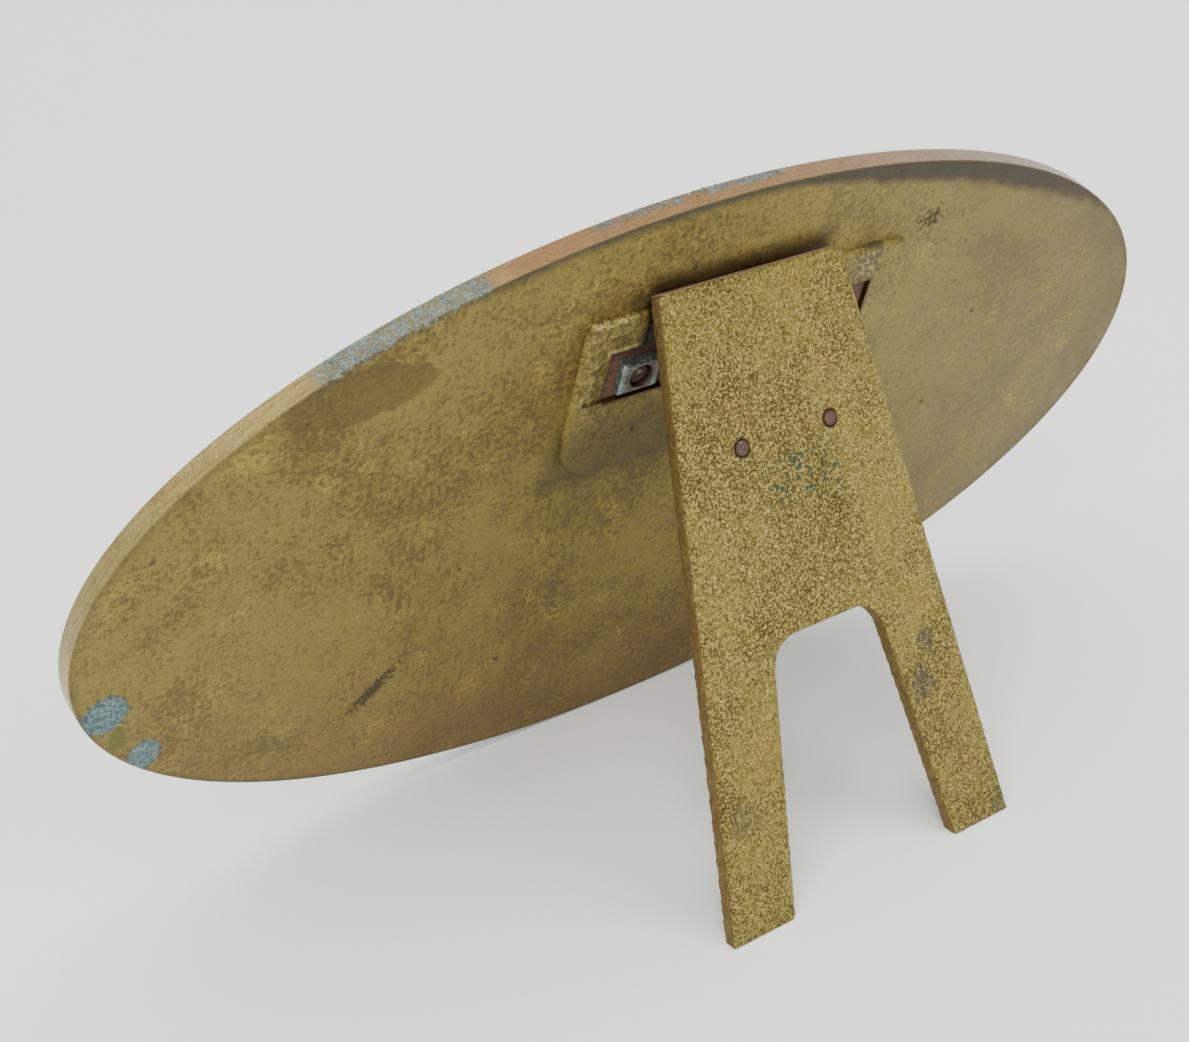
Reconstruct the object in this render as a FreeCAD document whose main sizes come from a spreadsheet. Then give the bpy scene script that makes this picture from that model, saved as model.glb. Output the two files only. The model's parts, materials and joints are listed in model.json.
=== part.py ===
"""Oval brass plate on a folding easel strut, built as separate bodies joined by a steel hinge.

Plate frame: x across the plate, y up the leaning back face, z from the back face into the metal.
Strut frame: x along the hinge pin, y up the strut, z from the strut towards the plate.
All lengths are millimetres. The table is z = 0 in the assembled frame.
"""
import FreeCAD, Part
import math
import os
import Sketcher

DIMS = {
    # plate
    "half_width": 100.0, "half_height": 52.0, "plate_thick": 3.7, "back_round": 0.4, "front_round": 0.5,
    "lean": 19.2, "centre_shift": -30.289,
    # raised hinge seat on the back
    "seat_mid": -3.5, "seat_half": 30.1, "seat_low": 7.2, "seat_top": 36.2, "seat_rise": 1.0,
    "seat_corner": 2.5, "seat_low_corner": 7.5, "seat_bevel": 0.9, "step_margin": 3.7, "step_depth": 0.35,
    "pocket_mid": -3.1, "pocket_half": 24.3, "pocket_low": 21.2, "pocket_top": 29.9, "pocket_floor": 0.6,
    "slot_half": 15.8, "slot_top": 36.5, "slot_floor": 0.9,
    # hinge
    "pin_up": 33.8, "pin_off": 1.3, "pin_radius": 1.0, "pin_half": 15.2, "knuckle_radius": 1.9,
    "knuckle_bore": 1.05, "knuckle_end": 15.0, "knuckle_mid": 7.4, "knuckle_gap": 0.3,
    "leaf_thick": 0.9, "leaf_clear": 0.3, "leaf_relief": 2.3,
    "wing_half": 14.0, "wing_length": 23.4,
    # studs and nuts
    "stud_left": 15.8, "stud_right": -20.4, "stud_up": 25.3, "stud_radius": 1.9, "stud_bore": 1.95,
    "stud_deep": 2.8,
    "stud_tip": 1.3, "stud_chamfer": 0.5, "nut_width": 6.8, "nut_height": 5.6, "nut_thick": 1.5,
    "nut_chamfer": 0.45, "leaf_hole": 2.1,
    # easel strut
    "splay": 39.45, "strut_thick": 2.4, "strut_clear": 2.1, "strut_over": 4.3, "strut_long": 87.9,
    "strut_top_half": 16.7, "strut_foot_half": 27.4, "strut_edge": 0.25,
    "arch_down": 51.8, "arch_top_half": 9.8, "arch_foot_half": 15.7, "arch_round": 4.8,
    # rivets
    "rivet_half": 8.3, "rivet_down": 19.4, "rivet_radius": 1.05, "rivet_hole": 1.1, "rivet_head": 1.9,
    "rivet_head_tall": 0.6,
}
D = DIMS


def make_sheet(doc):
    """Write every driving dimension into one spreadsheet, with its name as the alias."""
    sheet = doc.addObject("Spreadsheet::Sheet", "dims")
    for row, (name, value) in enumerate(DIMS.items(), start=1):
        sheet.set(f"A{row}", name)
        sheet.set(f"B{row}", str(value))
        sheet.setAlias(f"B{row}", name)
    doc.recompute()
    return sheet


def value_of(expression):
    """Return the number an expression such as dims.lean * 2 gives."""
    text = expression.replace("dims.", "")
    total, sign = 0.0, 1.0
    for token in text.replace("+", " + ").replace("-", " - ").split():
        if token in "+-":
            sign = sign * (-1.0 if token == "-" else 1.0)
            continue
        factor = 1.0
        for piece in token.split("*"):
            factor *= D[piece] if piece in D else float(piece)
        total, sign = total + sign * factor, 1.0
    return total


def new_body(doc, label):
    """Add an empty body whose label is the node's name."""
    body = doc.addObject("PartDesign::Body", label)
    body.Label = label
    return body


def plane_of(body, role):
    """Return one of the body's own origin planes."""
    return next(f for f in body.Origin.OriginFeatures if f.Role == role)


def new_sketch(body, role="XY_Plane", offset=None):
    """Add a sketch on an origin plane, moved along the plane's normal by an expression."""
    sketch = body.newObject("Sketcher::SketchObject", "sketch")
    sketch.AttachmentSupport = [(plane_of(body, role), "")]
    sketch.MapMode = "FlatFace"
    if offset is not None:
        sketch.setExpression("AttachmentOffset.Base.z", offset)
    return sketch


def bind_point(sketch, geo, pos, x_text, y_text):
    """Hold one point at the position two expressions give."""
    for kind, text in (("DistanceX", x_text), ("DistanceY", y_text)):
        index = sketch.addConstraint(Sketcher.Constraint(kind, -1, 1, geo, pos, value_of(text)))
        sketch.setExpression(f"Constraints[{index}]", text)


def add_polygon(sketch, corners):
    """Draw a closed polygon through corners given as pairs of expressions."""
    points = [FreeCAD.Vector(value_of(x), value_of(y), 0) for x, y in corners]
    count = len(points)
    first = sketch.GeometryCount
    for i in range(count):
        sketch.addGeometry(Part.LineSegment(points[i], points[(i + 1) % count]), False)
    for i in range(count):
        following = first + (i + 1) % count
        sketch.addConstraint(Sketcher.Constraint("Coincident", first + i, 2, following, 1))
    for i, (x_text, y_text) in enumerate(corners):
        bind_point(sketch, first + i, 1, x_text, y_text)


def add_box(sketch, low_x, high_x, low_y, high_y):
    """Draw a rectangle between four expressions."""
    add_polygon(sketch, [(low_x, low_y), (high_x, low_y), (high_x, high_y), (low_x, high_y)])


def add_circle(sketch, x_text, y_text, radius_text):
    """Draw a circle whose centre and radius are expressions."""
    centre = FreeCAD.Vector(value_of(x_text), value_of(y_text), 0)
    geo = sketch.addGeometry(Part.Circle(centre, FreeCAD.Vector(0, 0, 1), value_of(radius_text)), False)
    index = sketch.addConstraint(Sketcher.Constraint("Radius", geo, value_of(radius_text)))
    sketch.setExpression(f"Constraints[{index}]", radius_text)
    bind_point(sketch, geo, 3, x_text, y_text)


def add_pad(body, sketch, length, midplane=False, reverse=False):
    """Grow material from a sketch."""
    pad = body.newObject("PartDesign::Pad", "pad")
    pad.Profile = sketch
    pad.Midplane = midplane
    pad.Reversed = reverse
    pad.setExpression("Length", length)
    sketch.Visibility = False
    body.Document.recompute()
    return pad


def add_cut(body, sketch, length, midplane=False, reverse=False):
    """Cut a sketch into the body and make sure that material really went away."""
    before = body.Shape.Volume
    cut = body.newObject("PartDesign::Pocket", "cut")
    cut.Profile = sketch
    cut.Midplane = midplane
    cut.Reversed = reverse
    cut.setExpression("Length", length)
    sketch.Visibility = False
    body.Document.recompute()
    if body.Shape.Volume > before - 1e-3:
        raise RuntimeError(f"{body.Label}: a cut removed nothing")
    return cut


def edges_where(body, test):
    """List the names of the body's edges that pass a test."""
    return [f"Edge{i}" for i, edge in enumerate(body.Shape.Edges, start=1) if test(edge)]


def dress(body, kind, names, prop, text):
    """Round or bevel the named edges of the body's newest feature."""
    base = body.Tip
    feature = body.newObject(f"PartDesign::{kind}", kind.lower())
    feature.Base = (base, names)
    feature.setExpression(prop, text)
    body.Document.recompute()
    return feature


def flat_at(edge, z):
    """Say whether an edge lies wholly at one local height."""
    box = edge.BoundBox
    return abs(box.ZMin - z) < 1e-4 and abs(box.ZMax - z) < 1e-4


def upright_near(edge, x, y):
    """Say whether an edge runs along z through one point."""
    box = edge.BoundBox
    return box.ZLength > 0.2 and abs(box.XMin - x) < 1e-3 and abs(box.YMin - y) < 1e-3 and box.XLength < 1e-3


def place_on_plate(body, corner_drop):
    """Lean a body with the plate, with the plate's lowest edge on the table."""
    turn = FreeCAD.Rotation(FreeCAD.Vector(1, 0, 0), 90 - D["lean"])
    body.Placement = FreeCAD.Placement(FreeCAD.Vector(), turn)
    body.setExpression("Placement.Rotation.Angle", "90 - dims.lean")
    body.setExpression("Placement.Base.y", "dims.half_height * sin(dims.lean * 1deg) + dims.centre_shift")
    body.setExpression("Placement.Base.z", f"dims.half_height * cos(dims.lean * 1deg) - {corner_drop}")


def place_on_strut(body, corner_drop):
    """Stand a body along the strut, with its origin on the hinge pin."""
    turn = 90 + D["splay"] - D["lean"]
    body.Placement = FreeCAD.Placement(FreeCAD.Vector(), FreeCAD.Rotation(FreeCAD.Vector(1, 0, 0), turn))
    body.setExpression("Placement.Rotation.Angle", "90 + dims.splay - dims.lean")
    up = "(dims.half_height + dims.pin_up)"
    body.setExpression(
        "Placement.Base.y",
        f"{up} * sin(dims.lean * 1deg) + dims.pin_off * cos(dims.lean * 1deg) + dims.centre_shift")
    body.setExpression(
        "Placement.Base.z",
        f"{up} * cos(dims.lean * 1deg) - dims.pin_off * sin(dims.lean * 1deg) - {corner_drop}")


def build_plate(doc):
    """Oval casting with a raised, pocketed hinge seat on its back."""
    body = new_body(doc, "plate")
    oval = new_sketch(body)
    a, b = D["half_width"], D["half_height"]
    centre = FreeCAD.Vector(0, 0, 0)
    oval.addGeometry(Part.Ellipse(FreeCAD.Vector(a, 0, 0), FreeCAD.Vector(0, b, 0), centre), False)
    oval.exposeInternalGeometry(0)
    oval.addConstraint(Sketcher.Constraint("Coincident", 0, 3, -1, 1))
    oval.addConstraint(Sketcher.Constraint("Horizontal", 1))
    for line, text in ((1, "2 * dims.half_width"), (2, "2 * dims.half_height")):
        size = 2 * (a if line == 1 else b)
        index = oval.addConstraint(Sketcher.Constraint("Distance", line, size))
        oval.setExpression(f"Constraints[{index}]", text)
    add_pad(body, oval, "dims.plate_thick")
    rims = edges_where(body, lambda e: flat_at(e, 0.0))
    dress(body, "Fillet", rims, "Radius", "dims.back_round")
    rims = edges_where(body, lambda e: flat_at(e, D["plate_thick"]))
    dress(body, "Fillet", rims, "Radius", "dims.front_round")

    seat = new_sketch(body)
    left, right = "dims.seat_mid - dims.seat_half", "dims.seat_mid + dims.seat_half"
    add_box(seat, left, right, "dims.seat_low", "dims.seat_top")
    add_pad(body, seat, "dims.seat_rise", reverse=True)
    for level, size in (("dims.seat_low", "dims.seat_low_corner"), ("dims.seat_top", "dims.seat_corner")):
        corners = [(value_of(x), value_of(level)) for x in (left, right)]
        names = edges_where(body, lambda e: any(upright_near(e, x, y) for x, y in corners))
        dress(body, "Fillet", names, "Radius", size)
    names = edges_where(body, lambda e: flat_at(e, -D["seat_rise"]))
    dress(body, "Fillet", names, "Radius", "dims.seat_bevel")

    step = new_sketch(body, offset="-dims.seat_rise")
    add_box(step, "0.0", "dims.pocket_mid + dims.pocket_half + dims.step_margin",
            "dims.pocket_low + 0.3", "dims.pocket_top + dims.step_margin")
    add_cut(body, step, "dims.step_depth", reverse=True)
    pocket = new_sketch(body, offset="-dims.seat_rise")
    add_box(pocket, "dims.pocket_mid - dims.pocket_half", "dims.pocket_mid + dims.pocket_half",
            "dims.pocket_low", "dims.pocket_top")
    add_cut(body, pocket, "dims.seat_rise + dims.pocket_floor", reverse=True)
    slot = new_sketch(body, offset="-dims.seat_rise")
    add_box(slot, "-1*dims.slot_half", "dims.slot_half", "dims.pocket_top", "dims.slot_top")
    add_cut(body, slot, "dims.seat_rise + dims.slot_floor", reverse=True)

    holes = new_sketch(body)
    for x_text in ("dims.stud_left", "dims.stud_right"):
        add_circle(holes, x_text, "dims.stud_up", "dims.stud_bore")
    add_cut(body, holes, "dims.stud_deep", reverse=True)
    return body


def build_fixed_leaf(doc):
    """Steel leaf let into the seat, with the two outer knuckles along its upper edge."""
    body = new_body(doc, "hinge_leaf_fixed")
    flat = new_sketch(body, offset="dims.pocket_floor")
    left = "dims.pocket_mid - dims.pocket_half + dims.leaf_clear"
    right = "dims.pocket_mid + dims.pocket_half - dims.leaf_clear"
    low, shoulder = "dims.pocket_low + dims.leaf_clear", "dims.pocket_top - dims.leaf_clear"
    neck, inner = "dims.knuckle_end", "dims.knuckle_mid + dims.knuckle_gap"
    relief = "dims.pin_up - dims.leaf_relief"
    add_polygon(flat, [
        (left, low), (right, low), (right, shoulder), (neck, shoulder), (neck, "dims.pin_up"),
        (inner, "dims.pin_up"), (inner, relief), ("-1*dims.knuckle_mid - dims.knuckle_gap", relief),
        ("-1*dims.knuckle_mid - dims.knuckle_gap", "dims.pin_up"), ("-1*dims.knuckle_end", "dims.pin_up"),
        ("-1*dims.knuckle_end", shoulder), (left, shoulder)])
    add_pad(body, flat, "dims.leaf_thick", reverse=True)
    barrel = new_sketch(body, "YZ_Plane")
    add_circle(barrel, "dims.pin_up", "-1*dims.pin_off", "dims.knuckle_radius")
    add_pad(body, barrel, "2 * dims.knuckle_end", midplane=True)
    gap = new_sketch(body, "YZ_Plane")
    add_box(gap, relief, "dims.pin_up + dims.leaf_relief", "-1*dims.pin_off - dims.leaf_relief",
            "-1*dims.pin_off + dims.leaf_relief")
    add_cut(body, gap, "2 * (dims.knuckle_mid + dims.knuckle_gap)", midplane=True)
    bore = new_sketch(body, "YZ_Plane")
    add_circle(bore, "dims.pin_up", "-1*dims.pin_off", "dims.knuckle_bore")
    add_cut(body, bore, "2 * dims.pin_half + 2", midplane=True)
    holes = new_sketch(body)
    for x_text in ("dims.stud_left", "dims.stud_right"):
        add_circle(holes, x_text, "dims.stud_up", "dims.leaf_hole")
    add_cut(body, holes, "4 * dims.pocket_floor", midplane=True)
    return body


def build_moving_leaf(doc):
    """Steel leaf riveted to the strut, with the middle knuckle around the pin."""
    body = new_body(doc, "hinge_leaf_moving")
    flat = new_sketch(body, offset="-dims.strut_clear")
    low, relief = "-1*dims.wing_length", "-1*dims.leaf_relief"
    add_polygon(flat, [
        ("-1*dims.wing_half", low), ("dims.wing_half", low), ("dims.wing_half", relief),
        ("dims.knuckle_mid", relief), ("dims.knuckle_mid", "0"), ("-1*dims.knuckle_mid", "0"),
        ("-1*dims.knuckle_mid", relief), ("-1*dims.wing_half", relief)])
    add_pad(body, flat, "dims.leaf_thick")
    barrel = new_sketch(body, "YZ_Plane")
    add_circle(barrel, "0", "0", "dims.knuckle_radius")
    add_pad(body, barrel, "2 * dims.knuckle_mid", midplane=True)
    bore = new_sketch(body, "YZ_Plane")
    add_circle(bore, "0", "0", "dims.knuckle_bore")
    add_cut(body, bore, "2 * dims.knuckle_mid + 2", midplane=True)
    holes = new_sketch(body, offset="-dims.strut_clear")
    for x_text in ("dims.rivet_half", "-1*dims.rivet_half"):
        add_circle(holes, x_text, "-1*dims.rivet_down", "dims.rivet_hole")
    add_cut(body, holes, "dims.leaf_thick", reverse=True)
    return body


def build_pin(doc):
    """Plain steel hinge pin."""
    body = new_body(doc, "hinge_pin")
    ring = new_sketch(body, "YZ_Plane")
    add_circle(ring, "dims.pin_up", "-1*dims.pin_off", "dims.pin_radius")
    add_pad(body, ring, "2 * dims.pin_half", midplane=True)
    return body


def build_stud(doc, label, x_text):
    """Threaded stud standing out of a blind hole in the plate."""
    body = new_body(doc, label)
    ring = new_sketch(body, offset="dims.stud_deep - 0.1")
    add_circle(ring, x_text, "dims.stud_up", "dims.stud_radius")
    add_pad(body, ring, "dims.stud_deep - 0.1 + dims.stud_tip", reverse=True)
    names = edges_where(body, lambda e: flat_at(e, -D["stud_tip"]))
    dress(body, "Chamfer", names, "Size", "dims.stud_chamfer")
    return body


def build_nut(doc, label, x_text):
    """Small four-sided nut clamping the fixed leaf."""
    body = new_body(doc, label)
    block = new_sketch(body, offset="dims.pocket_floor - dims.leaf_thick")
    add_box(block, f"{x_text} - 0.5*dims.nut_width", f"{x_text} + 0.5*dims.nut_width",
            "dims.stud_up - 0.5*dims.nut_height", "dims.stud_up + 0.5*dims.nut_height")
    add_pad(body, block, "dims.nut_thick", reverse=True)
    top = D["pocket_floor"] - D["leaf_thick"] - D["nut_thick"]
    names = edges_where(body, lambda e: flat_at(e, top))
    dress(body, "Chamfer", names, "Size", "dims.nut_chamfer")
    hole = new_sketch(body)
    add_circle(hole, x_text, "dims.stud_up", "dims.stud_bore")
    add_cut(body, hole, "6 * dims.nut_thick", midplane=True)
    return body


def build_strut(doc):
    """Tapered cast strut with an arched gap that leaves two feet, cut flat where it stands."""
    body = new_body(doc, "easel_strut")
    front = new_sketch(body, offset="-dims.strut_clear")
    top, foot = "dims.strut_over", "dims.strut_over - dims.strut_long - 6"
    spread = "1.0647*dims.strut_foot_half - 0.0647*dims.strut_top_half"
    arch = "dims.strut_over - dims.arch_down"
    add_polygon(front, [
        ("-1*dims.strut_top_half", top), ("-1.0647*dims.strut_foot_half + 0.0647*dims.strut_top_half", foot),
        ("-1.15*dims.arch_foot_half + 0.15*dims.arch_top_half", foot), ("-1*dims.arch_top_half", arch),
        ("dims.arch_top_half", arch), ("1.15*dims.arch_foot_half - 0.15*dims.arch_top_half", foot),
        (spread, foot), ("dims.strut_top_half", top)])
    add_pad(body, front, "dims.strut_thick", reverse=True)
    crown = value_of(arch)
    sides = (-D["arch_top_half"], D["arch_top_half"])
    names = edges_where(body, lambda e: any(upright_near(e, x, crown) for x in sides))
    dress(body, "Fillet", names, "Radius", "dims.arch_round")
    rear = -D["strut_clear"] - D["strut_thick"]
    names = edges_where(body, lambda e: flat_at(e, rear))
    dress(body, "Fillet", names, "Radius", "dims.strut_edge")
    holes = new_sketch(body, offset="-dims.strut_clear")
    for x_text in ("dims.rivet_half", "-1*dims.rivet_half"):
        add_circle(holes, x_text, "-1*dims.rivet_down", "dims.rivet_hole")
    add_cut(body, holes, "dims.strut_thick")
    return body


def build_rivet(doc, label, x_text):
    """Steel rivet, flush on the strut's outer face and headed on the leaf."""
    body = new_body(doc, label)
    shank = new_sketch(body, offset="-dims.strut_clear - dims.strut_thick")
    add_circle(shank, x_text, "-1*dims.rivet_down", "dims.rivet_radius")
    add_pad(body, shank, "dims.strut_thick + dims.leaf_thick")
    head = new_sketch(body, offset="-dims.strut_clear + dims.leaf_thick")
    add_circle(head, x_text, "-1*dims.rivet_down", "dims.rivet_head")
    add_pad(body, head, "dims.rivet_head_tall")
    return body


def trim_feet(body, corner_drop):
    """Cut the strut's feet level with the table in its standing position."""
    tilt = math.radians(D["splay"] - D["lean"])
    up = D["half_height"] + D["pin_up"]
    lean = math.radians(D["lean"])
    pin_z = up * math.cos(lean) - D["pin_off"] * math.sin(lean) - corner_drop
    cut = new_sketch(body, "YZ_Plane")
    # the table in the strut frame: pin_z + y cos(tilt) - z sin(tilt) = 0
    edge = [(-(pin_z - z * math.sin(tilt)) / math.cos(tilt), z) for z in (1.0, -9.0)]
    corners = [edge[0], edge[1], (-120.0, -9.0), (-120.0, 1.0)]
    count = len(corners)
    for i in range(count):
        ends = [FreeCAD.Vector(*corners[j % count], 0) for j in (i, i + 1)]
        cut.addGeometry(Part.LineSegment(*ends), False)
    for i in range(count):
        cut.addConstraint(Sketcher.Constraint("Coincident", i, 2, (i + 1) % count, 1))
    add_cut(body, cut, "4 * dims.strut_foot_half", midplane=True)


def check(doc):
    """Stop if any feature failed or any body isn't one valid solid."""
    for item in doc.Objects:
        if any(word in item.State for word in ("Invalid", "Error")):
            raise RuntimeError(f"{item.Label} failed: {item.State}")
        shape = getattr(item, "Shape", None)
        if item.TypeId != "PartDesign::Body":
            continue
        if shape.isNull() or not shape.isValid() or len(shape.Solids) != 1:
            raise RuntimeError(f"{item.Label} is not one valid solid")


def main():
    """Build, place, check and write every body."""
    os.makedirs("parts", exist_ok=True)
    doc = FreeCAD.newDocument("easel_plate")
    make_sheet(doc)
    lean = math.radians(D["lean"])
    corner_drop = round(D["back_round"] * (math.cos(lean) + math.sin(lean) - 1), 5)
    right_stud = "dims.stud_right"
    on_plate = [
        build_plate(doc), build_fixed_leaf(doc), build_pin(doc),
        build_stud(doc, "stud_left", "dims.stud_left"), build_stud(doc, "stud_right", right_stud),
        build_nut(doc, "nut_left", "dims.stud_left"), build_nut(doc, "nut_right", right_stud)]
    strut = build_strut(doc)
    trim_feet(strut, corner_drop)
    on_strut = [
        strut, build_moving_leaf(doc),
        build_rivet(doc, "rivet_left", "dims.rivet_half"),
        build_rivet(doc, "rivet_right", "-1*dims.rivet_half")]
    for body in on_plate:
        place_on_plate(body, corner_drop)
    for body in on_strut:
        place_on_strut(body, corner_drop)
    doc.recompute()
    check(doc)
    for body in on_plate + on_strut:
        body.Shape.exportStep(f"parts/{body.Label}.step")
        box = body.Shape.BoundBox
        print(body.Label, [round(v, 3) for v in (box.XMin, box.XMax, box.YMin, box.YMax, box.ZMin, box.ZMax)],
              "volume", round(body.Shape.Volume, 1))


main()
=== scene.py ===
"""Looks for an oval cast-brass plate that stands on a folding brass easel strut."""
import json
import logging
import math
from dataclasses import dataclass, field
from enum import Enum
from typing import Any, Sequence

import bmesh
import bpy
from mathutils import Matrix, Vector, noise


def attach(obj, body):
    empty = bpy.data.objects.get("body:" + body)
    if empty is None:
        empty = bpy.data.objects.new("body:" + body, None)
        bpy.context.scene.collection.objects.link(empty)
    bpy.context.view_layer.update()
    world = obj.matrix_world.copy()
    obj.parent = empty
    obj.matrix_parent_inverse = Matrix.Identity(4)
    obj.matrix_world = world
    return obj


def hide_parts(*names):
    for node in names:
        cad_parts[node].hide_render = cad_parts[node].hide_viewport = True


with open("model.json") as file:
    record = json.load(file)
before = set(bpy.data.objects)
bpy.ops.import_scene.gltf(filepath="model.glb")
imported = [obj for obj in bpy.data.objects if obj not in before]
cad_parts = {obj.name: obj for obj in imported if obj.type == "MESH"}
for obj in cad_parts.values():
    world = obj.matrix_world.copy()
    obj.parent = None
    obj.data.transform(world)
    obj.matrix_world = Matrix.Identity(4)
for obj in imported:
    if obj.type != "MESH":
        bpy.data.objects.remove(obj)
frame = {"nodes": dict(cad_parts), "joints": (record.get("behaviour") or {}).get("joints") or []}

LOG = logging.getLogger("easel_plate")
Colour = tuple[float, float, float]
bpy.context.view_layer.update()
LEAN = math.radians(19.2)
SPLAY = math.radians(39.45)
# The hinge pin's place on the plate, in metres: up its back face, and off that face.
PIN_UP = 0.0338
PIN_OUT = 0.0013
# The oval's half sizes, in millimetres, and the factor from its ring value to a depth inside the edge.
PLATE_HALF = (100.0, 52.0)
EDGE_REACH = 62.0
# Rectangles on the plate's back, in millimetres: a middle and half sizes.
SEAT = ((-3.5, 21.7), (30.1, 14.5))
POCKET = ((-3.1, 25.55), (24.3, 4.35))
HINGE_SLOT = ((0.0, 33.0), (15.8, 3.5))
# Middles of the studs on the plate and of the rivets on the strut, in millimetres.
STUDS = ((15.8, 25.3), (-20.4, 25.3))
RIVETS = ((8.3, -19.4), (-8.3, -19.4))
# Gold of the painted highlights on the seat's and the pocket's upper edges.
EDGE_HIGHLIGHT: Colour = (0.620, 0.510, 0.190)


class Side(Enum):
    """The two bodies that the hinge joins."""

    PLATE = "plate_side"
    STRUT = "strut_side"


class Slot(Enum):
    """The record's material slots for the plate's and the strut's brass."""

    PLATE = "plate_brass"
    STRUT = "strut_brass"


@dataclass(frozen=True)
class LocalFrame:
    """A leaning frame: x across the plate, y up the piece, z from its outer face into the metal."""

    origin: Vector
    turn: float

    def matrix(self) -> Matrix:
        """Return the matrix from this frame, in metres, to the row frame.

        Returns:
            The matrix.
        """
        return Matrix.Translation(self.origin) @ Matrix.Rotation(self.turn, 4, "X")


def hinge_point() -> Vector:
    """Return the pin's middle, in metres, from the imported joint.

    Returns:
        The point.
    """
    joint = next(j for j in frame["joints"] if j["name"] == "strut_hinge")
    return Vector(joint["pos_m"])


def plate_frame() -> LocalFrame:
    """Return the plate's frame, with its origin at the middle of the back face.

    Returns:
        The frame.
    """
    up = Vector((0.0, math.sin(LEAN), math.cos(LEAN)))
    out = Vector((0.0, math.cos(LEAN), -math.sin(LEAN)))
    return LocalFrame(hinge_point() - PIN_UP * up - PIN_OUT * out, math.pi / 2 - LEAN)


def strut_frame() -> LocalFrame:
    """Return the strut's frame, with its origin on the hinge pin.

    Returns:
        The frame.
    """
    return LocalFrame(hinge_point(), math.pi / 2 + SPLAY - LEAN)


# ---------------------------------------------------------------- shader helpers
class Wire:
    """One number in a shader tree. Python's operators on it add Math nodes."""

    def __init__(self, board: "Board", socket: Any) -> None:
        """Hold a socket of a board.

        Args:
            board: The board that the socket is on.
            socket: An output socket.
        """
        self.board = board
        self.socket = socket

    def _math(self, operation: str, *values: Any) -> "Wire":
        """Add a Math node.

        Args:
            operation: The node's operation.
            values: Its inputs, as numbers or wires.

        Returns:
            The node's result.
        """
        node = self.board.node("ShaderNodeMath", {"operation": operation}, dict(enumerate(values)))
        return Wire(self.board, node.outputs[0])

    def __add__(self, other: Any) -> "Wire":
        """Add.

        Args:
            other: The other number or wire.

        Returns:
            The result.
        """
        return self._math("ADD", self, other)

    def __radd__(self, other: Any) -> "Wire":
        """Add, reflected.

        Args:
            other: The number on the left.

        Returns:
            The result.
        """
        return self._math("ADD", other, self)

    def __sub__(self, other: Any) -> "Wire":
        """Take away.

        Args:
            other: What is taken away.

        Returns:
            The result.
        """
        return self._math("SUBTRACT", self, other)

    def __rsub__(self, other: Any) -> "Wire":
        """Take away, reflected.

        Args:
            other: The number on the left.

        Returns:
            The result.
        """
        return self._math("SUBTRACT", other, self)

    def __mul__(self, other: Any) -> "Wire":
        """Multiply.

        Args:
            other: The other number or wire.

        Returns:
            The result.
        """
        return self._math("MULTIPLY", self, other)

    def __rmul__(self, other: Any) -> "Wire":
        """Multiply, reflected.

        Args:
            other: The number on the left.

        Returns:
            The result.
        """
        return self._math("MULTIPLY", other, self)

    def __truediv__(self, other: Any) -> "Wire":
        """Divide.

        Args:
            other: The divisor.

        Returns:
            The result.
        """
        return self._math("DIVIDE", self, other)

    def __neg__(self) -> "Wire":
        """Change the sign.

        Returns:
            The result.
        """
        return self._math("MULTIPLY", self, -1.0)

    def __abs__(self) -> "Wire":
        """Drop the sign.

        Returns:
            The result.
        """
        return self._math("ABSOLUTE", self)

    def root(self) -> "Wire":
        """Return the square root.

        Returns:
            The result.
        """
        return self._math("SQRT", self)

    def least(self, other: Any) -> "Wire":
        """Return the smaller of two.

        Args:
            other: The other number or wire.

        Returns:
            The result.
        """
        return self._math("MINIMUM", self, other)

    def most(self, other: Any) -> "Wire":
        """Return the larger of two.

        Args:
            other: The other number or wire.

        Returns:
            The result.
        """
        return self._math("MAXIMUM", self, other)

    def ramp(self, start: float, end: float, low: float = 0.0, high: float = 1.0) -> "Wire":
        """Turn a stretch of values smoothly into another.

        Args:
            start: Value that gives low.
            end: Value that gives high; it may be below start.
            low: Result at start.
            high: Result at end.

        Returns:
            The eased and clamped result.
        """
        flip = end < start
        limits = (end, start, high, low) if flip else (start, end, low, high)
        node = self.board.node(
            "ShaderNodeMapRange", {"interpolation_type": "SMOOTHSTEP", "clamp": True},
            {0: self, 1: limits[0], 2: limits[1], 3: limits[2], 4: limits[3]})
        return Wire(self.board, node.outputs[0])


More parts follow.
